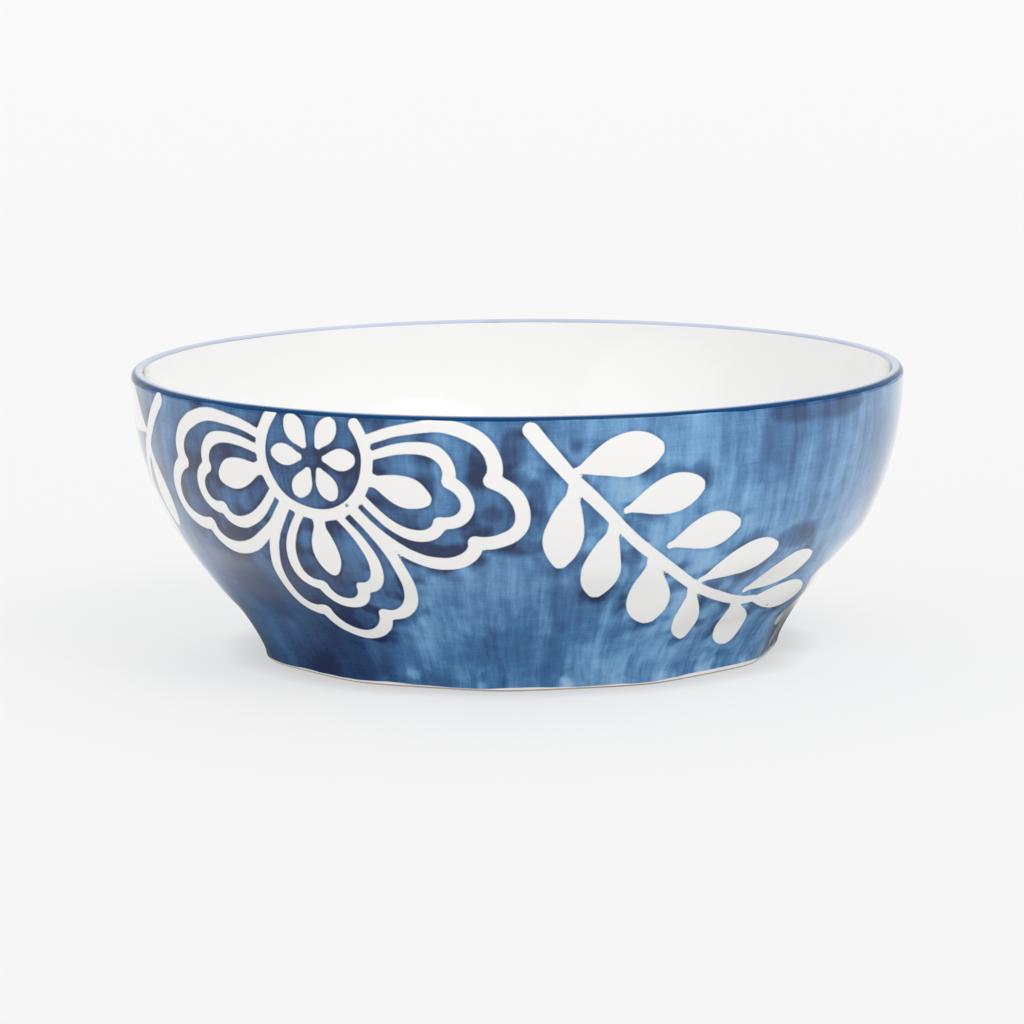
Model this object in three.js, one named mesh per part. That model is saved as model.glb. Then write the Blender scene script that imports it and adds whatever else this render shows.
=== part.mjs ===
// A porcelain serving bowl with eleven soft flutes round its lower wall.
// It is one fired body of clay, and the glazes fused onto it, each brushed or poured in its own step.
// Millimetres, +Z up. The origin is the middle of the foot, on the plane that the bowl stands on.
import * as THREE from "three";

// Overall sizes
const rimRadius = 110; // outside of the lip
const bowlHeight = 81; // table to the top of the lip
const footRadius = 74.4; // outside of the foot, along a ridge

// Outer wall: a flared foot up to the waist, then a full belly up to the lip
const waistRadius = 84;
const waistHeight = 16.8;
const waistSlope = 1.05; // radius gained for each unit of height, where foot and belly meet
const footPull = 3; // how far the foot's curve holds its direction
const waistPull = 5; // the same, for the belly as it leaves the waist
const bellyPull = 35; // and as it comes upright under the lip

// Lip and wall
const lipThickness = 3.4;
const lipRound = 1.7; // height of the round over the lip, outside and inside
const bandDrop = 1.9; // how far the coloured band comes down outside the lip
const bandInside = 0.9; // and inside it
const floorHeight = 9; // table to the inside floor, at the middle
const floorRadius = 46; // flat part of the inside floor
const wallThickness = 4.6; // above the flutes

// Foot ring and the recess under the floor
const ringWidth = 6.5; // from the outside of the foot to the recess
const edgeRound = 1.6; // bare round at the ring's outer edge
const edgeHeight = 0.6;
const recessDepth = 3.2;
const recessSlope = 3; // how far the recess narrows on the way up
const footLineHeight = 1; // white line of glaze over the bare edge

// Flutes
const fluteCount = 11;
const ridgeAngle = THREE.MathUtils.degToRad(-4); // of one ridge, from -Y towards +X
const footFluteDepth = 1.5;
const topFluteDepth = 2.3; // the most, just under the arched tops
const deepestHeight = 26;
const fluteTop = 38; // where a flute's arch ends, at its middle
const ridgeSoftness = 0.35; // rounds the ridge, as a share of half a flute

const glazeThickness = 0.4;

// How finely the shapes are divided
const stepsPerFlute = 6;
const edgeSteps = 2;
const flareSteps = 3;
const bellySteps = 8;
const lipSteps = 3;
const linerSteps = 7;

const stepsAround = fluteCount * stepsPerFlute;

// How deep the flutes are at a height, in the middle of a flute.
function fluteDepthAt(height) {
  if (height >= fluteTop) {
    return 0;
  }
  if (height < deepestHeight) {
    return THREE.MathUtils.lerp(
      footFluteDepth,
      topFluteDepth,
      THREE.MathUtils.smoothstep(height, waistHeight / 2, deepestHeight),
    );
  }
  return topFluteDepth * (1 - THREE.MathUtils.smoothstep(height, deepestHeight, fluteTop));
}

// 0 on a ridge and 1 in the middle of a flute, rounded over the ridge.
function fluteShape(angle) {
  const turns = ((angle - ridgeAngle) * fluteCount) / (2 * Math.PI);
  const fromRidge = 2 * Math.abs(turns - Math.round(turns));
  const soft = Math.hypot(fromRidge, ridgeSoftness) - ridgeSoftness;
  const share = soft / (Math.hypot(1, ridgeSoftness) - ridgeSoftness);
  return share * (2 - share);
}

// A place on the section: radius and height, and whether the flutes move it.
function spot(radius, height, fluted = false) {
  return { radius, height, fluted };
}

// The spots of a curve, from its second one on, because it starts where the last stretch ended.
function spotsAlong(curve, steps, fluted = false) {
  return curve
    .getPoints(steps)
    .slice(1)
    .map((p) => spot(p.x, p.y, fluted));
}

// Turns a section once round the axis. A section that starts and ends on the axis closes there;
// any other closes on itself. It runs up the outside and down the inside. Each four-sided patch is
// split the same way whichever way the section runs, so that a coat fits the body under it.
function turned(section) {
  const positions = [];
  const rows = section.map(({ radius, height, fluted }) => {
    const first = positions.length / 3;
    if (radius === 0) {
      positions.push(0, 0, height);
      return { first, radius, height, onAxis: true };
    }
    for (let i = 0; i < stepsAround; i++) {
      const angle = ridgeAngle + (2 * Math.PI * i) / stepsAround;
      const reach = fluted ? radius - fluteDepthAt(height) * fluteShape(angle) : radius;
      positions.push(reach * Math.sin(angle), -reach * Math.cos(angle), height);
    }
    return { first, radius, height, onAxis: false };
  });
  const pairs = rows[0].onAxis ? rows.length - 1 : rows.length;
  const faces = [];
  for (let k = 0; k < pairs; k++) {
    const low = rows[k];
    const high = rows[(k + 1) % rows.length];
    const falling = high.radius < low.radius || (high.radius === low.radius && high.height < low.height);
    for (let i = 0; i < stepsAround; i++) {
      const next = (i + 1) % stepsAround;
      const a = low.first + (low.onAxis ? 0 : i);
      const b = low.first + (low.onAxis ? 0 : next);
      const c = high.first + (high.onAxis ? 0 : next);
      const d = high.first + (high.onAxis ? 0 : i);
      if (low.onAxis) {
        faces.push(a, c, d);
      } else if (high.onAxis) {
        faces.push(a, b, d);
      } else if (falling) {
        faces.push(a, b, d, b, c, d);
      } else {
        faces.push(a, b, c, a, c, d);
      }
    }
  }
  const geometry = new THREE.BufferGeometry();
  geometry.setAttribute("position", new THREE.Float32BufferAttribute(positions, 3));
  geometry.setIndex(faces);
  geometry.computeVertexNormals();
  return geometry;
}

// The body's lines are the finished surface less the glaze, so that the coats bring it to size.
const bodyRim = rimRadius - glazeThickness;
const bodyTop = bowlHeight - glazeThickness;
const bodyFoot = footRadius - glazeThickness;
const bodyWaist = waistRadius - glazeThickness;
const bodyFloor = floorHeight - glazeThickness;
const recessRoof = recessDepth + glazeThickness;
const innerLip = rimRadius - lipThickness + glazeThickness;
const lipMiddle = (bodyRim + innerLip) / 2;
const bandHeight = bowlHeight - bandDrop;
const bandInsideHeight = bowlHeight - bandInside;
const footLineTop = edgeHeight + footLineHeight;
const footLineLean = glazeThickness / 2;
const ringInner = footRadius - ringWidth;
const recessRadius = ringInner - recessSlope;

const bareEdge = new THREE.QuadraticBezierCurve(
  new THREE.Vector2(footRadius - edgeRound, 0),
  new THREE.Vector2(bodyFoot, 0),
  new THREE.Vector2(bodyFoot, edgeHeight),
);

const flare = new THREE.CubicBezierCurve(
  new THREE.Vector2(bodyFoot + footLineLean, footLineTop),
  new THREE.Vector2(bodyFoot + footLineLean * (1 + footPull / footLineHeight), footLineTop + footPull),
  new THREE.Vector2(bodyWaist - waistSlope * footPull, waistHeight - footPull),
  new THREE.Vector2(bodyWaist, waistHeight),
);

const belly = new THREE.CubicBezierCurve(
  new THREE.Vector2(bodyWaist, waistHeight),
  new THREE.Vector2(bodyWaist + waistSlope * waistPull, waistHeight + waistPull),
  new THREE.Vector2(bodyRim, bandHeight - bellyPull),
  new THREE.Vector2(bodyRim, bandHeight),
);

const lipOutside = new THREE.CubicBezierCurve(
  new THREE.Vector2(bodyRim, bandHeight),
  new THREE.Vector2(bodyRim, bodyTop - lipRound / 2),
  new THREE.Vector2((bodyRim + lipMiddle) / 2, bodyTop),
  new THREE.Vector2(lipMiddle, bodyTop),
);

const lipInside = new THREE.QuadraticBezierCurve(
  new THREE.Vector2(lipMiddle, bodyTop),
  new THREE.Vector2(innerLip, bodyTop),
  new THREE.Vector2(innerLip, bandInsideHeight),
);

const innerWall = new THREE.CubicBezierCurve(
  new THREE.Vector2(innerLip, bandInsideHeight),
  new THREE.Vector2(innerLip - (wallThickness - lipThickness), bandInsideHeight - bellyPull),
  new THREE.Vector2(waistRadius - wallThickness, bodyFloor),
  new THREE.Vector2(floorRadius, bodyFloor),
);

// The body's whole section, from the middle of the recess, out over the foot, up the outside,
// over the lip and down to the middle of the floor. Each stretch keeps its first and last place
// in it, so that the coat over it starts and ends exactly where the next one does.
const line = [spot(0, recessRoof)];
const places = {};
for (const [stretch, spots] of Object.entries({
  recess: [spot(recessRadius, recessRoof), spot(ringInner - recessSlope / 2, recessRoof / 2)],
  ring: [spot(ringInner, edgeHeight), spot(ringInner, 0), spot(footRadius - edgeRound, 0, true)],
  edge: spotsAlong(bareEdge, edgeSteps, true),
  footLine: [spot(bodyFoot + footLineLean, footLineTop, true)],
  wall: [...spotsAlong(flare, flareSteps, true), ...spotsAlong(belly, bellySteps, true)],
  lip: [...spotsAlong(lipOutside, lipSteps, true), ...spotsAlong(lipInside, lipSteps)],
  liner: [...spotsAlong(innerWall, linerSteps), spot(0, bodyFloor)],
})) {
  const first = line.length - 1;
  line.push(...spots);
  places[stretch] = [first, line.length];
}

// The same line, moved outwards by the glaze's thickness.
const coatLine = line.map((here, i) => {
  const before = line[Math.max(i - 1, 0)];
  const after = line[Math.min(i + 1, line.length - 1)];
  const along = new THREE.Vector2(after.radius - before.radius, after.height - before.height);
  along.setLength(glazeThickness);
  return spot(here.radius + along.y, here.height - along.x, here.fluted);
});

const bowl = new THREE.Group();

function add(name, section, color, roughness) {
  const material = new THREE.MeshStandardMaterial({ color, roughness, metalness: 0 });
  const mesh = new THREE.Mesh(turned(section), material);
  mesh.name = name;
  bowl.add(mesh);
}

// A coat's section: its outside, and back along the body's line under it.
function addCoat(name, stretch, color, roughness) {
  const [first, end] = places[stretch];
  const outside = coatLine.slice(first, end);
  const inside = line.slice(first, end);
  if (line[first].radius === 0) {
    add(name, [...outside, ...inside.reverse()], color, roughness);
  } else if (line[end - 1].radius === 0) {
    add(name, [...inside.reverse(), ...outside], color, roughness);
  } else {
    add(name, [...outside, ...inside.reverse()], color, roughness);
  }
}

add("porcelain_body", line, 0xd9c9b4, 0.8);
addCoat("recess_glaze", "recess", 0xf1f0ec, 0.14);
addCoat("foot_line_glaze", "footLine", 0xf1f0ec, 0.12);
addCoat("wall_glaze", "wall", 0x34598f, 0.14);
addCoat("rim_band", "lip", 0x16284d, 0.12);
addCoat("liner_glaze", "liner", 0xf3f1ec, 0.1);

export default bowl;
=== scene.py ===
# A fluted porcelain serving bowl: brushed blue outside with flowers and leaf sprigs left white,
# a dark band over the lip, white inside, and a bare clay ring where it stands.
import math
import random

import bpy
from mathutils import Matrix, Vector, geometry


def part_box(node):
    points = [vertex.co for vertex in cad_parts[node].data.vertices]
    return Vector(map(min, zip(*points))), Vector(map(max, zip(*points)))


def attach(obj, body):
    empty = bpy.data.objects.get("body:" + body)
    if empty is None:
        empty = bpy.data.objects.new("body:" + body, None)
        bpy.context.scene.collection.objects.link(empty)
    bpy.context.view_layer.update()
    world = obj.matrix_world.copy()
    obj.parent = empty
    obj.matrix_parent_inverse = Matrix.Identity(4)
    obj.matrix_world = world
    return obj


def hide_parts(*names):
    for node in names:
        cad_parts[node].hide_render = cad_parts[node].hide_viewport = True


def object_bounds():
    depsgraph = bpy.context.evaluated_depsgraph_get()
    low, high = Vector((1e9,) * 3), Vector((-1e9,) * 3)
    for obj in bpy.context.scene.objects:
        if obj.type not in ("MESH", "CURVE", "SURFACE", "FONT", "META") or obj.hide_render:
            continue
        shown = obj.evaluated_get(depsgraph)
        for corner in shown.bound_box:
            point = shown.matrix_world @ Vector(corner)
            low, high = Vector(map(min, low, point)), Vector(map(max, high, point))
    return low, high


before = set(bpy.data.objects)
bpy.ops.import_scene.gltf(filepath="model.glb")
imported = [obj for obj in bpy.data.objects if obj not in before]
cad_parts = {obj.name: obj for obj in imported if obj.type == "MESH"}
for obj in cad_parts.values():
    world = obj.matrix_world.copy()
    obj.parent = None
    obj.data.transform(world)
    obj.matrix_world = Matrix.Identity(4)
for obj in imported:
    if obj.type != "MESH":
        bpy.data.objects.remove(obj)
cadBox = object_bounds()

mm = 0.001
wallLow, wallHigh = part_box("wall_glaze")
boxLow, boxHigh = cadBox

# Everything about the turned shape, in millimetres. The overall sizes come from the frame.
bowlShape = {
    "rimRadius": (wallHigh.x - wallLow.x) / 2 / mm,
    "height": boxHigh.z / mm,
    "footRadius": 74.4,
    "waistRadius": 84.0,
    "waistHeight": 16.8,
    "waistSlope": 1.05,
    "footPull": 3.0,
    "waistPull": 5.0,
    "bellyPull": 35.0,
    "lipThickness": 3.4,
    "lipRound": 1.7,
    "bandDrop": 1.9,
    "bandInside": 0.9,
    "floorHeight": 9.0,
    "floorRadius": 46.0,
    "wallThickness": 4.6,
    "ringWidth": 6.5,
    "edgeRound": 1.6,
    "edgeHeight": 0.6,
    "footLineHeight": 1.0,
    "recessDepth": 3.2,
    "recessSlope": 3.0,
    "glaze": 0.4,
}

wheelSettings = {
    "Steps Around": 11 * 70,
    "Flute Count": 11,
    "Ridge Angle": math.radians(-4),
    "Foot Flute Depth": 1.5 * mm,
    "Top Flute Depth": 2.3 * mm,
    "Deepest Height": 26 * mm,
    "Flute Top": 38 * mm,
    "Waist Height": bowlShape["waistHeight"] * mm,
    "Ridge Softness": 0.35,
    "Unevenness": 0.25 * mm,
}


def srgb(red, green, blue):
    # a colour as a screen shows it, 0 to 255, to the linear values that nodes use
    def linear(value):
        value /= 255
        return value / 12.92 if value <= 0.04045 else ((value + 0.055) / 1.055) ** 2.4

    return (linear(red), linear(green), linear(blue), 1.0)


class Wire:
    # a node's output that can be used in sums: each operator adds its own Math node

    def __init__(self, sheet, socket):
        self.sheet = sheet
        self.socket = socket

    def __add__(self, other):
        return self.sheet.math("ADD", self, other)

    __radd__ = __add__

    def __sub__(self, other):
        return self.sheet.math("SUBTRACT", self, other)

    def __rsub__(self, other):
        return self.sheet.math("SUBTRACT", other, self)

    def __mul__(self, other):
        return self.sheet.math("MULTIPLY", self, other)

    __rmul__ = __mul__

    def __truediv__(self, other):
        return self.sheet.math("DIVIDE", self, other)

    def __rtruediv__(self, other):
        return self.sheet.math("DIVIDE", other, self)


class NodeSheet:
    def __init__(self, tree):
        self.tree = tree
        tree.nodes.clear()

    def add(self, kind, settings=None, inputs=None, output=0):
        node = self.tree.nodes.new(kind)
        for name, value in (settings or {}).items():
            if name == "stops":
                self.setStops(node.color_ramp, value)
            else:
                setattr(node, name, value)
        for name, value in (inputs or {}).items():
            self.feed(node.inputs[name], value)
        count = len(self.tree.nodes)
        node.location = (count % 24 * 190, -(count // 24) * 260)
        return Wire(self, node.outputs[output]) if len(node.outputs) else node

    def setStops(self, ramp, stops):
        while len(ramp.elements) < len(stops):
            ramp.elements.new(1.0)
        for element, (position, colour) in zip(ramp.elements, stops):
            element.position = position
            element.color = colour

    def feed(self, socket, value):
        if isinstance(value, Wire):
            self.tree.links.new(value.socket, socket)
        else:
            socket.default_value = value

    def more(self, wire, output):
        return Wire(self, wire.socket.node.outputs[output])

    def math(self, operation, *values):
        return self.add("ShaderNodeMath", {"operation": operation}, dict(enumerate(values)))

    def vector(self, operation, *values, output=0):
        return self.add("ShaderNodeVectorMath", {"operation": operation}, dict(enumerate(values)), output)

    def combine(self, x, y, z):
        return self.add("ShaderNodeCombineXYZ", None, {"X": x, "Y": y, "Z": z})

    def split(self, vector):
        parts = self.add("ShaderNodeSeparateXYZ", None, {"Vector": vector})
        return [self.more(parts, axis) for axis in "XYZ"]

    def ramp(self, value, low, high, fromValue=0.0, toValue=1.0, smooth=True):
        settings = {"interpolation_type": "SMOOTHSTEP" if smooth else "LINEAR"}
        inputs = {"Value": value, "From Min": low, "From Max": high, "To Min": fromValue, "To Max": toValue}
        return self.add("ShaderNodeMapRange", settings, inputs)


def evenPoints(p0, p1, p2, p3, count):
    # a Bezier stretch cut into even lengths, without its first point
    fine = geometry.interpolate_bezier(*[Vector((*p, 0)) for p in (p0, p1, p2, p3)], 400)
    lengths = [0.0]
    for a, b in zip(fine, fine[1:]):
        lengths.append(lengths[-1] + (b - a).length)
    points = []
    k = 0
    for i in range(1, count + 1):
        target = lengths[-1] * i / count
        while k < len(fine) - 2 and lengths[k + 1] < target:
            k += 1
        share = (target - lengths[k]) / (lengths[k + 1] - lengths[k])
        point = fine[k].lerp(fine[k + 1], share)
        points.append((point.x, point.y))
    return points


def straight(p0, p1, count):
    return [tuple(a + (b - a) * i / count for a, b in zip(p0, p1)) for i in range(1, count + 1)]


def bowlSection(shape, steps):
    # the body's line from the middle of the recess, out, up the outside, over the lip and down
    # to the middle of the floor, with the coat's line over it
    coat = shape["glaze"]
    rim = shape["rimRadius"] - coat
    top = shape["height"] - coat
    foot = shape["footRadius"] - coat
    waist = shape["waistRadius"] - coat
    floorTop = shape["floorHeight"] - coat
    roof = shape["recessDepth"] + coat
    inner = shape["rimRadius"] - shape["lipThickness"] + coat
    middle = (rim + inner) / 2
    band = shape["height"] - shape["bandDrop"]
    bandIn = shape["height"] - shape["bandInside"]
    lineTop = shape["edgeHeight"] + shape["footLineHeight"]
    lean = coat / 2
    ringInner = shape["footRadius"] - shape["ringWidth"]
    recess = ringInner - shape["recessSlope"]
    slope, footPull, waistPull = shape["waistSlope"], shape["footPull"], shape["waistPull"]
    edge = (shape["footRadius"] - shape["edgeRound"], 0.0)
    lineFoot = (foot, shape["edgeHeight"])
    flareFoot = (foot + lean, lineTop)
    flareLean = foot + lean * (1 + footPull / shape["footLineHeight"])
    waistPoint = (waist, shape["waistHeight"])
    stretches = {
        "recess": evenPoints(
            (0, roof),
            (recess * 0.5, roof),
            (recess - 1, roof),
            (recess, roof - 0.4),
            steps["recess"],
        )
        + straight((recess, roof - 0.4), (ringInner - 0.6, shape["edgeHeight"] + 0.4), 4),
        "ring": [(ringInner, 0.2), (ringInner + 0.3, 0.0)] + straight((ringInner + 0.3, 0.0), edge, 4),
        "edge": evenPoints(edge, (foot, 0.0), (foot, 0.1), lineFoot, 8),
        "footLine": straight(lineFoot, flareFoot, 5),
        "wall": evenPoints(
            flareFoot,
            (flareLean, lineTop + footPull),
            (waist - slope * footPull, shape["waistHeight"] - footPull),
            waistPoint,
            steps["flare"],
        )
        + evenPoints(
            waistPoint,
            (waist + slope * waistPull, shape["waistHeight"] + waistPull),
            (rim, band - shape["bellyPull"]),
            (rim, band),
            steps["belly"],
        ),
        "lip": evenPoints(
            (rim, band),
            (rim, top - shape["lipRound"] / 2),
            ((rim + middle) / 2, top),
            (middle, top),
            10,
        )
        + evenPoints((middle, top), ((middle + inner) / 2, top), (inner, bandIn + 0.5), (inner, bandIn), 9),
        "liner": evenPoints(
            (inner, bandIn),
            (inner - (shape["wallThickness"] - shape["lipThickness"]), bandIn - shape["bellyPull"]),
            (shape["waistRadius"] - shape["wallThickness"], floorTop),
            (shape["floorRadius"], floorTop),
            steps["liner"],
        )
        + straight((shape["floorRadius"], floorTop), (0, floorTop), steps["floor"]),
    }
    line = [(0.0, roof)]
    places = {}
    for name, points in stretches.items():
        places[name] = (len(line) - 1, len(line) + len(points))
        line += points
    coatLine = []
    for i, (radius, height) in enumerate(line):
        before = Vector(line[max(i - 1, 0)])
        after = Vector(line[min(i + 1, len(line) - 1)])
        along = (after - before).normalized() * coat
        coatLine.append((max(radius + along.y, 0.0), height - along.x))
    return line, coatLine, places


sectionSteps = {"recess": 6, "flare": 17, "belly": 80, "liner": 60, "floor": 10}
bodyLine, coatLine, places = bowlSection(bowlShape, sectionSteps)


def climbOf(line):
    # height on the unrolled wall: length along it over its radius, so shapes keep their proportions
    climb = [0.0]
    for (r0, z0), (r1, z1) in zip(line, line[1:]):
        climb.append(climb[-1] + math.hypot(r1 - r0, z1 - z0) / ((r0 + r1) / 2))
    return climb


def drawSection(name, points, climbs=None, fluted=None):
    # a section as loose edges, in the plane that the wheel turns
    mesh = bpy.data.meshes.new(name)
    edges = [(i, i + 1) for i in range(len(points) - 1)]
    mesh.from_pydata([(r * mm, 0, z * mm) for r, z in points], edges, [])
    for attribute, values in (("climb", climbs), ("fluted", fluted)):
        data = mesh.attributes.new(attribute, "FLOAT", "POINT").data
        data.foreach_set("value", values or [0.0] * len(points))
    section = bpy.data.objects.new(name, mesh)
    bpy.context.scene.collection.objects.link(section)
    return section


def makeWheel():
    # turns a section once round the axis, with the flutes pressed in and a little hand unevenness
    tree = bpy.data.node_groups.new("bowlWheel", "GeometryNodeTree")
    face = tree.interface
    face.new_socket("Section", in_out="INPUT", socket_type="NodeSocketGeometry")
    kinds = {"Steps Around": "NodeSocketInt", "Flute Count": "NodeSocketInt", "Glaze": "NodeSocketMaterial"}
    for name in [*wheelSettings, "Glaze"]:
        face.new_socket(name, in_out="INPUT", socket_type=kinds.get(name, "NodeSocketFloat"))
    face.new_socket("Bowl", in_out="OUTPUT", socket_type="NodeSocketGeometry")
    sheet = NodeSheet(tree)
    given = sheet.add("NodeGroupInput")
    section, steps, flutes, ridge = [
        sheet.more(given, n) for n in ("Section", "Steps Around", "Flute Count", "Ridge Angle")
    ]
    footDepth, topDepth, deepest = [
        sheet.more(given, n) for n in ("Foot Flute Depth", "Top Flute Depth", "Deepest Height")
    ]
    fluteTop, waist, softness, uneven = [
        sheet.more(given, n) for n in ("Flute Top", "Waist Height", "Ridge Softness", "Unevenness")
    ]
    rows = sheet.add("GeometryNodeAttributeDomainSize", {"component": "MESH"}, {"Geometry": section})
    grid = sheet.add("GeometryNodeMeshGrid", None, {"Vertices X": steps + 1, "Vertices Y": rows})
    index = sheet.add("GeometryNodeInputIndex")
    column = sheet.add("FunctionNodeIntegerMath", {"operation": "DIVIDE_FLOOR"}, {0: index, 1: rows})
    row = sheet.add("FunctionNodeIntegerMath", {"operation": "MODULO"}, {0: index, 1: rows})
    place = sheet.add(
        "GeometryNodeSampleIndex",
        {"data_type": "FLOAT_VECTOR"},
        {"Geometry": section, "Value": sheet.add("GeometryNodeInputPosition"), "Index": row},
    )

    def sampleRow(name):
        value = sheet.add("GeometryNodeInputNamedAttribute", {"data_type": "FLOAT"}, {"Name": name})
        inputs = {"Geometry": section, "Value": value, "Index": row}
        return sheet.add("GeometryNodeSampleIndex", {"data_type": "FLOAT"}, inputs)

    climb = sampleRow("climb")
    fluted = sampleRow("fluted")
    radius, _, height = sheet.split(place)
    angle = ridge + column * (2 * math.pi) / steps

    # the flutes: rounded ridges, and arches that fade into the belly
    turn = column * flutes / steps
    fromRidge = sheet.math("ABSOLUTE", turn - sheet.math("ROUND", turn)) * 2
    soft = sheet.math("SQRT", fromRidge * fromRidge + softness * softness) - softness
    share = soft / (sheet.math("SQRT", softness * softness + 1) - softness)
    hollow = share * (2 - share)
    rising = sheet.ramp(height, waist / 2, deepest, footDepth, topDepth)
    depth = rising * sheet.ramp(height, deepest, fluteTop, 1.0, 0.0)
    outer = sheet.math("GREATER_THAN", radius, 0.0)

    # slow waves from the hand and the kiln, the same for the body and its coats
    around = sheet.combine(sheet.math("SINE", angle), sheet.math("COSINE", angle), height * 14)
    inputs = {"Vector": around, "Scale": 1.7, "Detail": 1.0, "Roughness": 0.4}
    waves = sheet.add("ShaderNodeTexNoise", None, inputs)
    wave = (waves - 0.5) * 2 * uneven * sheet.ramp(radius, 0.0, 60 * mm)
    fluteAt = depth * hollow * fluted * sheet.math("LESS_THAN", height, fluteTop)
    reach = radius - fluteAt + wave * outer
    sine = sheet.math("SINE", angle)
    cosine = sheet.math("COSINE", angle)
    turned = sheet.combine(reach * sine, 0 - reach * cosine, height)
    bowl = sheet.add("GeometryNodeSetPosition", None, {"Geometry": grid, "Position": turned})
    inputs = {"Geometry": bowl, "Name": "climb", "Value": climb}
    bowl = sheet.add("GeometryNodeStoreNamedAttribute", {"data_type": "FLOAT", "domain": "POINT"}, inputs)
    bowl = sheet.add("GeometryNodeMergeByDistance", None, {"Geometry": bowl, "Distance": 0.5e-6})
    inputs = {"Geometry": bowl, "Shade Smooth": True}
    bowl = sheet.add("GeometryNodeSetShadeSmooth", {"domain": "FACE"}, inputs)
    corner = sheet.math("GREATER_THAN", sheet.add("GeometryNodeInputMeshEdgeAngle"), math.radians(38))
    inputs = {"Geometry": bowl, "Selection": corner, "Shade Smooth": False}
    bowl = sheet.add("GeometryNodeSetShadeSmooth", {"domain": "EDGE"}, inputs)
    bowl = sheet.add("GeometryNodeRealizeInstances", None, {"Geometry": bowl})
    inputs = {"Geometry": bowl, "Material": sheet.more(given, "Glaze")}
    bowl = sheet.add("GeometryNodeSetMaterial", None, inputs)
    sheet.add("NodeGroupOutput", None, {"Bowl": bowl})
    return tree


def setInputs(modifier, values):
    for item in modifier.node_group.interface.items_tree:
        if item.in_out == "INPUT" and item.name in values:
            modifier[item.identifier] = values[item.name]


def keepMesh(obj, name):
    # the evaluated shape as a plain mesh object of its own
    graph = bpy.context.evaluated_depsgraph_get()
    mesh = bpy.data.meshes.new_from_object(obj.evaluated_get(graph), depsgraph=graph)
    mesh.name = name
    piece = bpy.data.objects.new(name, mesh)
    bpy.context.scene.collection.objects.link(piece)
    bpy.data.objects.remove(obj)
    return piece


def turnOnWheel(name, section, material, trees=(), **changes):
    modifier = section.modifiers.new("wheel", "NODES")
    modifier.node_group = wheel
    setInputs(modifier, {**wheelSettings, **changes, "Glaze": material})
    for tree, values in trees:
        extra = section.modifiers.new(tree.name, "NODES")
        extra.node_group = tree
        setInputs(extra, {**values, "Glaze": material})
    piece = keepMesh(section, name)
    print(name, len(piece.data.polygons), "faces")
    return piece


# The decoration is drawn flat, in millimetres on the wall unrolled at a radius of 100 mm: x goes
# round, from the front to the right, and y climbs from the foot. Lines are drawn as thin cores;
# the wax spreads waxSpread past them.
unrolledRadius = 100.0
waxSpread = 1.0

motif = {
    "repeats": 2,
    "flowerAt": (-53.5, 82.0),
    "ringRadius": 15.5,
    "ringHalf": 1.6,
    "ringDegrees": (-222, 37, 3),  # the band cuts the ring off at the top
    "seeds": 6,
    "seedReach": (2.8, 12.2),
    "seedHalf": 2.9,
    # each petal's direction in degrees, and how long and wide it is
    "petals": ((-15.5, 0.925, 0.88), (-89.5, 0.985, 1.0), (-163.5, 0.95, 0.87)),
    # half an outline, from the ring to the tip, x going out from the middle of the flower
    "outerLine": ((14.3, 10.4), (40, 31.5), (53.1, 16.7), (49.9, 10.2), (55, 10), (61.2, 5.5), (61.2, 0)),
    "outerHalf": 1.95,
    "innerLine": ((16.0, 6.1), (32.1, 18.9), (39.7, 11.9), (39, 6.6), (42.3, 6.3), (45.6, 4), (45.6, 0)),
    "innerHalf": 1.75,
    "drop": (15.2, 34.5),
    "dropHalf": 4.2,
}

# The stem's ends and handles are measured from the middle of the flower. Each leaf has its distance
# along the stem, its lean from it in degrees, its length, half-width and gap from the stem.
sprig = {
    "start": (56.5, 8.5),
    "reach": {
        1: ((78.0, -17.5), (107.0, -48.5), (135.5, -49.0)),
        -1: ((76.0, -6.0), (98.0, -45.0), (124.0, -47.0)),
    },
    "stemHalf": (2.1, 1.55),
    "upper": (
        (14.5, 62, 24.0, 5.5, 1.0),
        (30.5, 62, 22.5, 5.3, 3.5),
        (47.0, 54, 22.5, 5.2, 4.8),
        (67.5, 53, 27.0, 5.3, 2.0),
        (88.0, 42, 26.0, 5.6, 5.5),
    ),
    "lower": (
        (17.5, 49, 22.0, 5.2, 2.5),
        (33.0, 53, 22.5, 5.7, 2.0),
        (49.0, 38, 26.0, 6.3, 1.5),
        (68.5, 45, 24.5, 4.9, 1.0),
        (92.5, 52, 24.0, 6.5, 1.0),
    ),
    "endLeaf": (26.5, 5.9),
}


# Where the wash was laid twice or ran together: across and up from the flower, then half the
# width and half the height.
laps = (
    (52.5, -22.5, 7.5, 1.6),
    (57.5, -12.0, 1.5, 7.0),
    (52.5, 4.0, 2.0, 4.0),
    (43.5, -1.0, 1.5, 4.5),
    (47.0, -13.0, 1.5, 1.5),
    (36.0, -24.0, 6.0, 0.6),
    (-29.0, -24.5, 6.0, 0.8),
    (67.5, 4.5, 0.4, 0.4),
    (72.0, -14.0, 0.8, 3.0),
    (97.0, -33.0, 2.0, 0.8),
    (113.0, -40.0, 2.0, 0.8),
    (139.0, -26.0, 7.0, 2.6),
    (139.0, 9.0, 18.0, 2.4),
)


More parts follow.
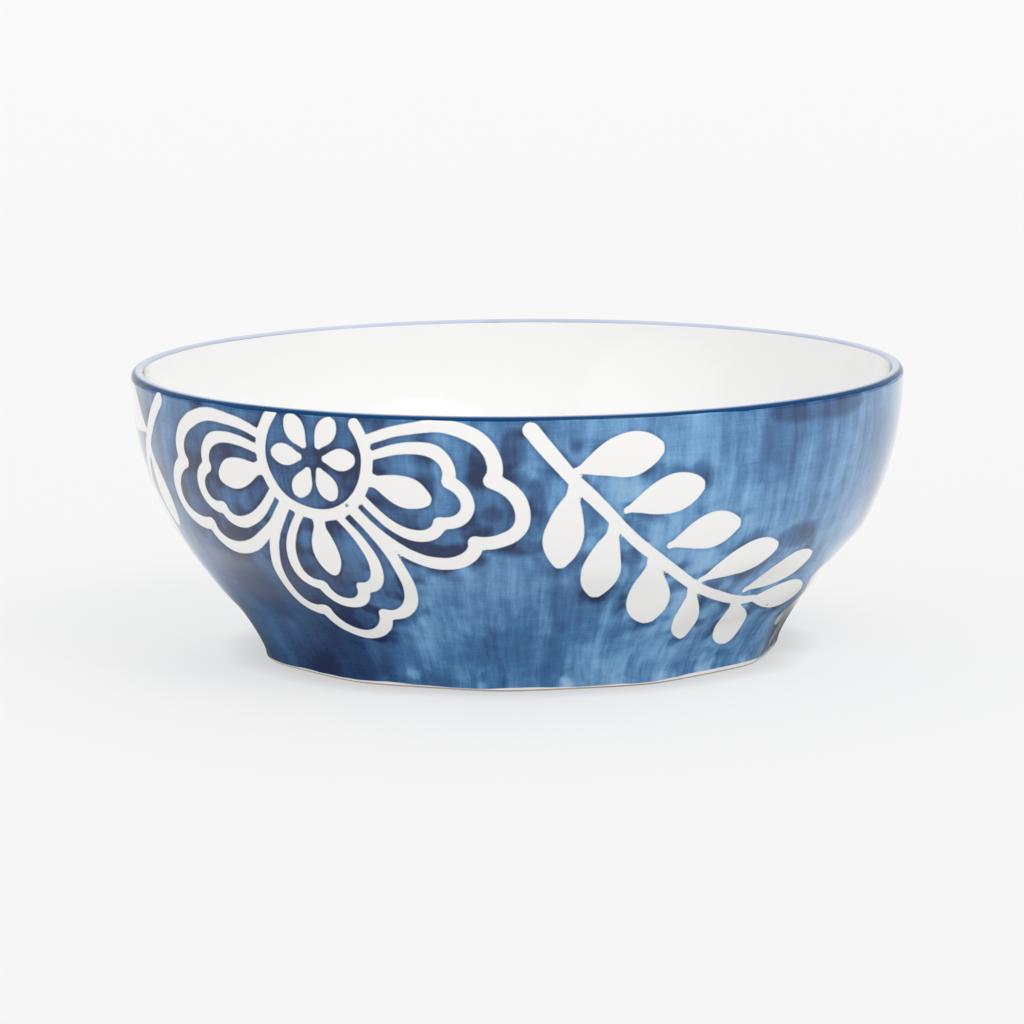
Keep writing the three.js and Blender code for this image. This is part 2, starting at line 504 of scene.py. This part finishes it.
class Sketch:
    def __init__(self):
        self.points = []
        self.faces = []

    def stroke(self, spine, halves, rounded=False):
        # a ribbon of quads along a spine, halves being its half-width at each point
        first = len(self.points)
        for i, (here, half) in enumerate(zip(spine, halves)):
            before = spine[max(i - 1, 0)]
            after = spine[min(i + 1, len(spine) - 1)]
            side = (after - before).normalized().orthogonal() * max(half - waxSpread, 0.03)
            self.points += [here + side, here - side]
        for i in range(len(spine) - 1):
            a = first + 2 * i
            self.faces.append((a, a + 1, a + 3, a + 2))
        if rounded:
            for middle, half in ((spine[0], halves[0]), (spine[-1], halves[-1])):
                around = [2 * math.pi * k / 12 for k in range(12)]
                reach = max(half - waxSpread, 0.03)
                self.area([middle + Vector((math.cos(a), math.sin(a))) * reach for a in around])

    def area(self, outline):
        first = len(self.points)
        self.points += outline
        self.faces.append(tuple(range(first, first + len(outline))))

    def leaf(self, tip, end, half, bow=0.0, full=1.5, neck=0.9):
        # a drop with its point at tip and its round end at end
        axis = end - tip
        across = axis.orthogonal() * bow
        inset = waxSpread / axis.length
        spine = []
        halves = []
        for i in range(37):
            s = inset + (1 - 1.9 * inset) * (1 - (1 - i / 36) ** 1.8)
            spine.append(tip + axis * s + across * 4 * s * (1 - s))
            halves.append(max(half * math.sin(math.pi * s**full) ** 0.7, neck * (1 - s)))
        self.stroke(spine, halves)

    def mesh(self, name):
        mesh = bpy.data.meshes.new(name)
        mesh.from_pydata([(p.x * mm, p.y * mm, 0) for p in self.points], [], self.faces)
        obj = bpy.data.objects.new(name, mesh)
        bpy.context.scene.collection.objects.link(obj)
        return obj


def curve2d(*knots, steps=14):
    # Bezier stretches that share their ends: a knot, two handles, a knot, and so on
    points = []
    for k in range(0, len(knots) - 1, 3):
        part = geometry.interpolate_bezier(*[Vector((*p, 0)) for p in knots[k : k + 4]], steps)
        points += [p.xy for p in part[1 if points else 0 :]]
    return points


def drawPetal(sketch, half, width, toWall):
    # the two side lobes and the middle lobe, each its own stroke, so that they meet in clean notches
    upper = curve2d(*half, steps=30)
    notch = len(curve2d(*half[:4], steps=30)) - 1
    lower = [Vector((p.x, -p.y)) for p in reversed(upper[:-1])]
    outline = [toWall(p) for p in upper + lower]
    # the brush is lifted a little towards the ring, so the lines are thinner there
    side = [width * min(0.66 + 0.34 * i / 13, 1) for i in range(notch + 1)]
    sketch.stroke(outline[: notch + 1], side, rounded=True)
    sketch.stroke(outline[notch : len(outline) - notch], [width] * (len(outline) - 2 * notch), rounded=True)
    sketch.stroke(outline[len(outline) - notch - 1 :], side[::-1], rounded=True)
    return outline


def drawFlower(sketch, pool, centre, wobble):
    reach = motif["ringRadius"]
    turns = [math.radians(d) for d in range(*motif["ringDegrees"])]
    ring = [centre + Vector((math.cos(a), math.sin(a))) * reach for a in turns]
    sketch.stroke(ring, [motif["ringHalf"]] * len(ring), rounded=True)
    pool.area(ring)
    near, far = motif["seedReach"]
    for k in range(motif["seeds"]):
        angle = 2 * math.pi * k / motif["seeds"] + wobble.uniform(-0.07, 0.07)
        out = Vector((math.cos(angle), math.sin(angle)))
        half = motif["seedHalf"] * wobble.uniform(0.94, 1.06)
        sketch.leaf(centre + out * near, centre + out * far, half, full=1.35, neck=0.5)
    for degrees, reach, spread in motif["petals"]:
        turn = Matrix.Rotation(math.radians(degrees + wobble.uniform(-0.7, 0.7)), 2)
        place = turn @ Matrix(((reach, 0), (0, spread)))

        def toWall(point):
            return centre + place @ point

        pool.area(drawPetal(sketch, motif["outerLine"], motif["outerHalf"], toWall))
        drawPetal(sketch, motif["innerLine"], motif["innerHalf"], toWall)
        near, far = motif["drop"]
        lean = Matrix.Rotation(math.radians(wobble.uniform(-4, 1)), 2)
        ends = [centre + lean @ turn @ Vector((x, 0)) for x in (near, far * (0.4 + reach * 0.6))]
        sketch.leaf(*ends, motif["dropHalf"], neck=2.1)


def drawSprig(sketch, flower, side, wobble, droop=0.0, shift=0.0):
    # a bowed stem from beside the flower, with leaves in pairs; side is 1 to the right and -1 to the left
    knots = [sprig["start"], *sprig["reach"][side]]
    stem = [(flower.x + side * (x + shift), flower.y + y - droop * max(x - 90, 0) / 35) for x, y in knots]
    spine = curve2d(*stem, steps=40)
    thick, thin = sprig["stemHalf"]
    count = len(spine)
    sketch.stroke(spine, [thick + (thin - thick) * min(i / 14, 1) for i in range(count)], rounded=True)
    lengths = [0.0]
    for a, b in zip(spine, spine[1:]):
        lengths.append(lengths[-1] + (b - a).length)

    def placeLeaf(distance, lean, length, half, gap, bow, neck=1.1):
        k = min(sum(1 for l in lengths if l <= distance), count - 1)
        heading = (spine[k] - spine[k - 1]).normalized()
        start = spine[k - 1] + heading * (distance - lengths[k - 1])
        turn = Matrix.Rotation(math.radians(side * (lean + wobble.uniform(-2, 2))), 2)
        out = turn @ heading
        tip = start + out * gap
        length *= wobble.uniform(0.97, 1.03)
        sketch.leaf(tip, tip + out * length, half * wobble.uniform(0.96, 1.04), bow * side, neck=neck)

    for distance, lean, length, half, gap in sprig["upper"]:
        placeLeaf(distance, lean, length, half, gap, 0.03)
    for distance, lean, length, half, gap in sprig["lower"]:
        placeLeaf(distance, -lean, length + gap, half, 0.0, -0.03, 1.9)
    placeLeaf(lengths[-1] - 1, -1, *sprig["endLeaf"], 0, 0)


def drawMotif():
    sketch, pool, lap = Sketch(), Sketch(), Sketch()
    period = 2 * math.pi * unrolledRadius / motif["repeats"]
    for k in range(-1, motif["repeats"] + 1):
        wobble = random.Random(40 + k % motif["repeats"])
        flower = Vector(motif["flowerAt"]) + Vector((k * period, 0))
        drawFlower(sketch, pool, flower, wobble)
        drawSprig(sketch, flower, 1, wobble)
        drawSprig(sketch, flower, -1, wobble, droop=9.0, shift=3.0)
        for x, y, wide, high in laps:
            turns = [(math.cos(a), math.sin(a)) for a in (2 * math.pi * i / 16 for i in range(16))]
            lap.area([flower + Vector((x + c * wide, y + s * high)) for c, s in turns])
    return sketch.mesh("waxCores"), pool.mesh("poolAreas"), lap.mesh("lapAreas")


def makeResist():
    # lays the flat drawing on the wall: how far each point is from the nearest wax and from the
    # nearest petal, in millimetres on the real wall
    tree = bpy.data.node_groups.new("waxResist", "GeometryNodeTree")
    face = tree.interface
    face.new_socket("Bowl", in_out="INPUT", socket_type="NodeSocketGeometry")
    face.new_socket("Wax", in_out="INPUT", socket_type="NodeSocketObject")
    face.new_socket("Pools", in_out="INPUT", socket_type="NodeSocketObject")
    face.new_socket("Laps", in_out="INPUT", socket_type="NodeSocketObject")
    face.new_socket("Shake", in_out="INPUT", socket_type="NodeSocketFloat")
    face.new_socket("Glaze", in_out="INPUT", socket_type="NodeSocketMaterial")
    face.new_socket("Bowl", in_out="OUTPUT", socket_type="NodeSocketGeometry")
    sheet = NodeSheet(tree)
    given = sheet.add("NodeGroupInput")
    bowl = sheet.more(given, "Bowl")
    spot = sheet.add("GeometryNodeInputPosition")
    x, y, _ = sheet.split(spot)
    angle = sheet.math("ARCTAN2", x, 0 - y)
    climb = sheet.add("GeometryNodeInputNamedAttribute", {"data_type": "FLOAT"}, {"Name": "climb"})
    radius = sheet.math("SQRT", x * x + y * y)
    flat = sheet.combine(angle * unrolledRadius * mm, climb * unrolledRadius * mm, 0.0)
    shakes = sheet.add("ShaderNodeTexNoise", None, {"Vector": spot, "Scale": 55.0, "Detail": 1.0})
    shake = sheet.vector("SUBTRACT", sheet.more(shakes, "Color"), (0.5, 0.5, 0.5))
    shaken = sheet.vector("SCALE", sheet.vector("MULTIPLY", shake, (1, 1, 0)))
    sheet.feed(shaken.socket.node.inputs["Scale"], sheet.more(given, "Shake"))
    place = sheet.vector("ADD", flat, shaken)
    for name, source in (("toWax", "Wax"), ("toPool", "Pools"), ("toLap", "Laps")):
        inputs = {"Object": sheet.more(given, source)}
        drawing = sheet.add("GeometryNodeObjectInfo", None, inputs, "Geometry")
        inputs = {"Geometry": drawing, "Sample Position": place}
        near = sheet.add("GeometryNodeProximity", {"target_element": "FACES"}, inputs, "Distance")
        real = near * radius / (unrolledRadius * mm) / mm
        inputs = {"Geometry": bowl, "Name": name, "Value": real}
        store = {"data_type": "FLOAT", "domain": "POINT"}
        bowl = sheet.add("GeometryNodeStoreNamedAttribute", store, inputs)
    bowl = sheet.add("GeometryNodeRealizeInstances", None, {"Geometry": bowl})
    inputs = {"Geometry": bowl, "Material": sheet.more(given, "Glaze")}
    bowl = sheet.add("GeometryNodeSetMaterial", None, inputs)
    sheet.add("NodeGroupOutput", None, {"Bowl": bowl})
    return tree


def newMaterial(name):
    material = bpy.data.materials.new(name)
    material.use_nodes = True
    return material, NodeSheet(material.node_tree)


def finishMaterial(sheet, colour, roughness, normal=None, **fixed):
    shader = sheet.tree.nodes.new("ShaderNodeBsdfPrincipled")
    for name, value in fixed.items():
        shader.inputs[name].default_value = value
    sheet.feed(shader.inputs["Base Color"], colour)
    sheet.feed(shader.inputs["Roughness"], roughness)
    if normal is not None:
        sheet.feed(shader.inputs["Normal"], normal)
    sheet.add("ShaderNodeOutputMaterial", None, {"Surface": Wire(sheet, shader.outputs["BSDF"])})
    return shader


def mixColour(sheet, share, a, b):
    # the colour sockets share their names with the other kinds, so they are taken by number
    node = sheet.tree.nodes.new("ShaderNodeMix")
    node.data_type = "RGBA"
    sheet.feed(node.inputs["Factor"], share)
    sheet.feed(node.inputs[6], a)
    sheet.feed(node.inputs[7], b)
    return Wire(sheet, node.outputs[2])


glossSettings = {"IOR": 1.3, "Coat Weight": 1.0, "Coat IOR": 1.3, "Coat Roughness": 0.04}

bandGloss = {"IOR": 1.22, "Coat Weight": 0.0}

washColours = {
    "wisp": srgb(150, 186, 216),
    "pale": srgb(113, 160, 202),
    "mid": srgb(72, 118, 164),
    "deep": srgb(44, 75, 117),
    "pooled": srgb(28, 44, 82),
    "bare": srgb(240, 239, 237),
    "speck": srgb(60, 90, 150),
}


def washLook(sheet):
    # the brushed blue with its bare wax lines: colour, where it is bare, and the brush's hairs
    spot = sheet.add("ShaderNodeTexCoord", output="Object")
    x, y, _ = sheet.split(spot)
    outward = sheet.vector("NORMALIZE", sheet.combine(x, y, 0.0))
    ox, oy, _ = sheet.split(outward)
    toWax = sheet.add("ShaderNodeAttribute", {"attribute_name": "toWax"}, output="Fac")
    toPool = sheet.add("ShaderNodeAttribute", {"attribute_name": "toPool"}, output="Fac")
    toLap = sheet.add("ShaderNodeAttribute", {"attribute_name": "toLap"}, output="Fac")
    climb = sheet.add("ShaderNodeAttribute", {"attribute_name": "climb"}, output="Fac")

    def noise(vector, scale, detail=2.0, roughness=0.5):
        inputs = {"Vector": vector, "Scale": scale, "Detail": detail, "Roughness": roughness}
        return sheet.add("ShaderNodeTexNoise", None, inputs)

    # soft brush marks run up the wall, with finer hairs in them
    wander = (noise(sheet.combine(ox, oy, climb * 1.5), 3.0) - 0.5) * 0.03
    wx, wy = ox + wander, oy + wander
    bands = noise(sheet.combine(wx, wy, climb * 0.12), 21.0, 2.0, 0.5)
    hairs = noise(sheet.combine(wx, wy, climb * 0.14), 95.0, 2.0, 0.5)
    clouds = noise(sheet.combine(ox, oy, climb * 0.8), 3.6, 3.0, 0.5)
    dabs = noise(sheet.combine(ox, oy, climb * 1.3), 17.0, 1.0, 0.4)
    # the mark of the cloth it was dabbed with: threads across and threads up
    threads = noise(sheet.combine(ox * 14, oy * 14, climb * 240), 1.0, 1.0, 0.5)
    upright = noise(sheet.combine(ox, oy, climb * 0.5), 230.0, 0.0, 0.5)
    # twice laid, and so smoother: low beside each flower
    beside = ox * oy * 1.97 - (oy * oy - ox * ox) * 0.16
    twice = sheet.ramp(beside, 0.4, 0.95) * (1 - sheet.ramp(climb, 0.36, 0.62))
    streaks = (bands - 0.5) * 0.62 + (hairs - 0.5) * 0.25 + (dabs - 0.5) * 0.25
    density = 0.46 + (clouds - 0.5) * 0.95 + streaks * (1 - twice * 0.7) + twice * 0.23
    density = density + (threads - 0.5) * 0.13 + (upright - 0.5) * 0.1

    # more colour on one side of each repeat, partly denser paint and partly painted shade; more in the
    # flowers and in the laps, and pools against the wax
    heavyAndShaded = ox * oy * 1.8 - (oy * oy - ox * ox) * 0.4
    inPetal = 1 - sheet.ramp(toPool, 0.0, 0.8)
    gather = sheet.ramp(noise(sheet.combine(ox, oy, climb * 1.2), 11.0, 1.0), 0.45, 0.68)
    pooling = (1 - sheet.ramp(toWax, waxSpread, waxSpread + 6.0)) * gather
    edge = 1 - sheet.ramp(toWax, waxSpread, waxSpread + 1.6)
    lapped = 1 - sheet.ramp(toLap + (dabs - 0.5) * 2, 0.0, 2.4)
    density = density + heavyAndShaded * 0.14 + inPetal * 0.15 + pooling * 0.42 + edge * 0.1 + lapped * 0.28
    # thin wisps near the foot
    low = 1 - sheet.ramp(climb, 0.02, 0.13)
    wisps = sheet.ramp(noise(sheet.combine(ox, oy, climb * 1.1), 9.0, 2.0), 0.5, 0.78) * low
    density = density + low * 0.05 - wisps * (1 - twice) * 0.55
    ramp = sheet.add(
        "ShaderNodeValToRGB",
        {
            "stops": [
                (0.0, washColours["wisp"]),
                (0.26, washColours["pale"]),
                (0.5, washColours["mid"]),
                (0.8, washColours["deep"]),
                (1.0, washColours["pooled"]),
            ]
        },
        {"Fac": density},
    )
    inputs = {"Vector": spot, "Scale": 130.0, "Randomness": 1.0}
    specks = sheet.add("ShaderNodeTexVoronoi", {"feature": "F1"}, inputs)
    keep = sheet.math("GREATER_THAN", sheet.split(sheet.more(specks, "Color"))[0], 0.93)
    speck = (1 - sheet.ramp(specks, 0.04, 0.1)) * keep
    bare = mixColour(sheet, speck * 0.75, washColours["bare"], washColours["speck"])
    limit = waxSpread + (noise(spot, 260.0) - 0.5) * 0.25
    waxed = 1 - sheet.ramp(toWax, limit - 0.2, limit + 0.24)
    return mixColour(sheet, waxed, ramp, bare), waxed, hairs


def washMaterial():
    material, sheet = newMaterial("brushedBlueWash")
    colour, waxed, hairs = washLook(sheet)
    inputs = {"Height": waxed * -0.3 + hairs * 0.1, "Strength": 0.12, "Distance": 0.0004}
    bump = sheet.add("ShaderNodeBump", None, inputs)
    finishMaterial(sheet, colour, 0.1 + hairs * 0.05, bump, **glossSettings)
    return material


def whiteMaterial(name, colour):
    material, sheet = newMaterial(name)
    spot = sheet.add("ShaderNodeTexCoord", output="Object")
    cloud = sheet.add("ShaderNodeTexNoise", None, {"Vector": spot, "Scale": 14.0, "Detail": 3.0})
    shade = mixColour(sheet, cloud * 0.25, colour, tuple(c * 0.93 for c in colour[:3]) + (1,))
    ripple = sheet.add("ShaderNodeTexNoise", None, {"Vector": spot, "Scale": 60.0, "Detail": 2.0})
    bump = sheet.add("ShaderNodeBump", None, {"Height": ripple, "Strength": 0.05, "Distance": 0.0005})
    finishMaterial(sheet, shade, 0.08 + cloud * 0.06, bump, **glossSettings)
    return material


bandColours = {
    "outside": srgb(3, 62, 108),
    "crestThinAndHighlight": srgb(120, 165, 210),
    "inside": srgb(205, 212, 230),
    "outline": srgb(6, 28, 60),
}
bandEdge = 1.15  # how far below the top the hand-drawn edge lies, on average


def bandMaterial():
    # deep blue outside, paler over the crest, partly where the blue runs thin and partly a painted
    # highlight, and thinner still inside
    material, sheet = newMaterial("rimBlue")
    spot = sheet.add("ShaderNodeTexCoord", output="Object")
    x, y, z = sheet.split(spot)
    radius = sheet.math("SQRT", x * x + y * y)
    top = bowlShape["height"] * mm
    lipMiddle = (bowlShape["rimRadius"] - bowlShape["lipThickness"] / 2) * mm
    wear = sheet.add("ShaderNodeTexNoise", None, {"Vector": spot, "Scale": 26.0, "Detail": 3.0})
    # painted highlight along the top of the lip, mixed with the blue running thin there
    crestThinAndHighlight = sheet.ramp(z, top - 0.4 * mm, top - 0.1 * mm) * sheet.ramp(wear, 0.35, 0.6)
    inside = 1 - sheet.ramp(radius, lipMiddle - 0.1 * mm, lipMiddle + 0.9 * mm)
    colour = mixColour(sheet, crestThinAndHighlight * 0.35, bandColours["outside"], bandColours["crestThinAndHighlight"])
    colour = mixColour(sheet, inside * (0.65 + wear * 0.35), colour, bandColours["inside"])
    # its lower edge was drawn by hand, and the wash shows below it
    hand = sheet.add("ShaderNodeTexNoise", None, {"Vector": spot, "Scale": 45.0, "Detail": 3.0})
    edge = top - bandEdge * mm + sheet.ramp(hand, 0.3, 0.7, -0.3, 0.25, False) * mm
    isOutside = sheet.math("GREATER_THAN", radius, lipMiddle)
    below = (1 - sheet.ramp(z, edge - 0.1 * mm, edge + 0.1 * mm)) * isOutside
    outline = 1 - sheet.ramp(z, edge + 0.05 * mm, edge + 0.4 * mm)
    colour = mixColour(sheet, outline * 0.6, colour, bandColours["outline"])
    wash, _, _ = washLook(sheet)
    colour = mixColour(sheet, below, colour, wash)
    finishMaterial(sheet, colour, 0.08 + wear * 0.05, **bandGloss)
    return material


footColour = srgb(236, 236, 236)
washOverFoot = (0.1, 0.95)  # how high above the bare edge the wash stops, least and most


def footMaterial():
    # white glaze above the bare edge, which the wash runs down onto here and there
    material, sheet = newMaterial("footWhite")
    spot = sheet.add("ShaderNodeTexCoord", output="Object")
    z = sheet.split(spot)[2]
    hand = sheet.add("ShaderNodeTexNoise", None, {"Vector": spot, "Scale": 22.0, "Detail": 3.0})
    reach = (bowlShape["edgeHeight"] + sheet.ramp(hand, 0.35, 0.65, *washOverFoot)) * mm
    wash, _, _ = washLook(sheet)
    covered = sheet.ramp(z, reach - 0.15 * mm, reach + 0.15 * mm)
    colour = mixColour(sheet, covered, footColour, wash)
    finishMaterial(sheet, colour, 0.1 + hand * 0.06, **glossSettings)
    return material


clayColours = {"pale": srgb(206, 188, 172), "stained": srgb(172, 142, 122)}
clayStepsAround = 11 * 32  # the coats hide the body, so it needs fewer


def clayMaterial():
    material, sheet = newMaterial("bareClay")
    spot = sheet.add("ShaderNodeTexCoord", output="Object")
    grain = sheet.add("ShaderNodeTexNoise", None, {"Vector": spot, "Scale": 900.0, "Detail": 3.0})
    stain = sheet.add("ShaderNodeTexNoise", None, {"Vector": spot, "Scale": 40.0, "Detail": 2.0})
    colour = mixColour(sheet, stain, clayColours["pale"], clayColours["stained"])
    bump = sheet.add("ShaderNodeBump", None, {"Height": grain, "Strength": 0.4, "Distance": 0.0002})
    finishMaterial(sheet, colour, 0.7 + grain * 0.2, bump)
    return material


wheel = makeWheel()
resist = makeResist()
waxCores, poolAreas, lapAreas = drawMotif()
blueWash = washMaterial()
white = whiteMaterial("clearWhiteGlaze", srgb(240, 239, 236))
warmWhite = whiteMaterial("linerGlaze", srgb(242, 242, 241))
print("materials made")


def coatLoop(stretch, thin=0):
    # a coat's closed section, its outside and then back along the body's line under it
    first, end = places[stretch]
    outside = list(coatLine[first:end])
    inside = list(bodyLine[first:end])
    climbs = climbOf(outside)
    if stretch == "lip":
        climbs = [wallClimb + c for c in climbs]
    if thin:
        inside = inside[::thin] + ([] if (len(inside) - 1) % thin == 0 else [inside[-1]])
    if bodyLine[first][0] == 0 or bodyLine[end - 1][0] > 0:
        loop = outside + inside[::-1]
        levels = climbs + [0.0] * len(inside)
        if bodyLine[first][0] > 0:
            loop.append(outside[0])
            levels.append(climbs[0])
    else:
        loop = inside[::-1] + outside
        levels = [0.0] * len(inside) + climbs
    return loop, levels


wallClimb = climbOf(coatLine[places["wall"][0] : places["wall"][1]])[-1]
pieces = {}


def addCoat(name, node, stretch, material, thin=0, trees=()):
    loop, levels = coatLoop(stretch, thin)
    flutes = [1.0 if stretch in ("footLine", "wall") else 0.0] * len(loop)
    section = drawSection(name + "Section", loop, levels, flutes)
    piece = turnOnWheel(name, section, material, trees)
    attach(piece, "root")
    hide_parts(node)
    pieces[name] = piece


fluteFirst, fluteEnd = places["edge"][0], places["wall"][1]
bodyFlutes = [1.0 if fluteFirst <= i < fluteEnd else 0.0 for i in range(len(bodyLine))]
bodySection = drawSection("clayBodySection", bodyLine, None, bodyFlutes)
body = turnOnWheel("clayBody", bodySection, clayMaterial(), **{"Steps Around": clayStepsAround})
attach(body, "root")
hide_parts("porcelain_body")

painting = (resist, {"Wax": waxCores, "Pools": poolAreas, "Laps": lapAreas, "Shake": 1.6 * mm})
addCoat("wallGlaze", "wall_glaze", "wall", blueWash, 6, [painting])
addCoat("rimBand", "rim_band", "lip", bandMaterial(), 0, [painting])
addCoat("linerGlaze", "liner_glaze", "liner", warmWhite, 2)
addCoat("footLine", "foot_line_glaze", "footLine", footMaterial(), 0, [painting])
addCoat("recessGlaze", "recess_glaze", "recess", white)
bpy.data.objects.remove(waxCores)
bpy.data.objects.remove(poolAreas)
bpy.data.objects.remove(lapAreas)
print("bowl turned and glazed")


stageSettings = {
    "floorSize": 14.0,
    "floorColour": (0.21, 0.21, 0.21, 1.0),
    "floorGlow": 0.66,
    "worldStrength": 0.77,
}


def makeStage():
    half = stageSettings["floorSize"] / 2
    mesh = bpy.data.meshes.new("floor")
    corners = [(-half, -half, 0), (half, -half, 0), (half, half, 0), (-half, half, 0)]
    mesh.from_pydata(corners, [], [(0, 1, 2, 3)])
    floor = bpy.data.objects.new("floor", mesh)
    bpy.context.scene.collection.objects.link(floor)
    material, sheet = newMaterial("paleFloor")
    # its glow lifts the shadows; close to the bowl it is kept out of what the glaze mirrors, a painted
    # shadow in the glaze's reflection, and ambient occlusion darkens it round the foot into a painted
    # contact shadow
    x, y, _ = sheet.split(sheet.add("ShaderNodeTexCoord", output="Object"))
    away = sheet.ramp(sheet.math("SQRT", x * x + y * y), 0.083, 0.115)
    mirrored = sheet.add("ShaderNodeLightPath", output="Is Glossy Ray")
    # painted contact shadow: the glow is darkened where ambient occlusion finds the bowl close by
    contactShadowAO = sheet.add("ShaderNodeAmbientOcclusion", {"samples": 8}, {"Distance": 0.012}, output="AO")
    glow = (1 - mirrored * (1 - away)) * (0.68 + contactShadowAO * 0.32)
    fixed = {"IOR": 1.3, "Emission Strength": stageSettings["floorGlow"]}
    shader = finishMaterial(sheet, stageSettings["floorColour"], 0.9, **fixed)
    sheet.feed(shader.inputs["Emission Color"], sheet.combine(glow, glow, glow))
    mesh.materials.append(material)
    world = bpy.data.worlds.new("studio")
    world.use_nodes = True
    world.node_tree.nodes["Background"].inputs["Color"].default_value = (1, 1, 1, 1)
    world.node_tree.nodes["Background"].inputs["Strength"].default_value = stageSettings["worldStrength"]
    bpy.context.scene.world = world


cameraSettings = {
    "elevation": 8.86,
    "distance": 1.593,
    "roll": 0.40,
    "lens": 195.6,
    "aim": (-0.0018, 0.0, 0.0384),
}


def makeCamera():
    camera = bpy.data.objects.new("camera", bpy.data.cameras.new("camera"))
    bpy.context.scene.collection.objects.link(camera)
    tilt = math.radians(cameraSettings["elevation"])
    back = Vector((0, -math.cos(tilt), math.sin(tilt)))
    camera.location = Vector(cameraSettings["aim"]) + back * cameraSettings["distance"]
    roll = Matrix.Rotation(math.radians(cameraSettings["roll"]), 3, -back)
    camera.rotation_euler = (roll @ (-back).to_track_quat("-Z", "Y").to_matrix()).to_euler()
    camera.data.sensor_width = 36
    camera.data.lens = cameraSettings["lens"]
    camera.data.clip_end = 50
    bpy.context.scene.camera = camera


# Wide soft suns: degrees to the right of the camera, degrees up, strength, and how wide each looks.
lamps = {
    "key": {"right": 38, "up": 48, "strength": 0.86, "wide": 42},
    "top": {"right": 170, "up": 66, "strength": 0.4, "wide": 60},
    "fill": {"right": -48, "up": 24, "strength": 0.34, "wide": 46},
    "glint": {"right": 40, "up": 52, "strength": 0.16, "wide": 6},
}
sweep = {"behind": 6.0, "width": 12.0, "height": 4.5, "power": 16}


def makeLights():
    for name, lamp in lamps.items():
        data = bpy.data.lights.new(name, "SUN")
        data.energy = lamp["strength"]
        data.angle = math.radians(lamp["wide"])
        right, up = math.radians(lamp["right"]), math.radians(lamp["up"])
        toLamp = Vector((math.sin(right) * math.cos(up), -math.cos(right) * math.cos(up), math.sin(up)))
        light = bpy.data.objects.new(name, data)
        bpy.context.scene.collection.objects.link(light)
        light.rotation_euler = toLamp.to_track_quat("Z", "Y").to_euler()
    # the pale sweep that rises behind, which the glaze mirrors along its sides
    data = bpy.data.lights.new("sweep", "AREA")
    data.shape = "RECTANGLE"
    data.size = sweep["width"]
    data.size_y = sweep["height"]
    data.energy = sweep["power"]
    light = bpy.data.objects.new("sweep", data)
    bpy.context.scene.collection.objects.link(light)
    light.location = (0, sweep["behind"], sweep["height"] / 2)
    light.rotation_euler = (-math.pi / 2, 0, 0)


makeStage()
makeCamera()
makeLights()
bpy.context.scene.view_settings.view_transform = "Standard"
